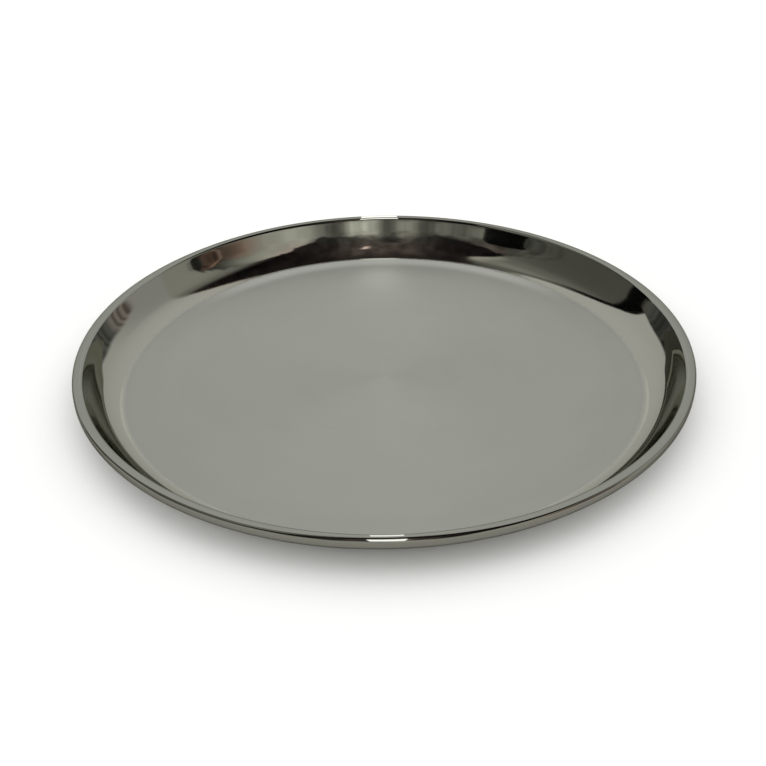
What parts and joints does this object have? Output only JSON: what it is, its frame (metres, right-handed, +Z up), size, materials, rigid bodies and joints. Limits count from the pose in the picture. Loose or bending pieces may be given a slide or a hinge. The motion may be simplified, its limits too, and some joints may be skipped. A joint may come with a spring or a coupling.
{
  "type": "thali plate",
  "caption": "Shallow round steel thali plate: flat satin floor, low curved mirror-polished wall and an edge rolled round a wire; stands on its floor to serve food.",
  "frame": {"origin": "centre of the underside of the floor, on the surface the plate stands on", "axes": "+Z up along the plate's axis of revolution, out of its open side; X and Y in the standing surface, alike by symmetry, with -Y towards the person eating"},
  "size_m": [0.28, 0.28, 0.0172],
  "materials": {
    "polished_sheet": "mirror-polished wall and rim, satin floor",
    "drawn_wire": "plain drawn wire"
  },
  "bodies": {
    "root": {"plate_pressing": "polished_sheet", "rim_wire": "drawn_wire"}
  },
  "joints": []
}
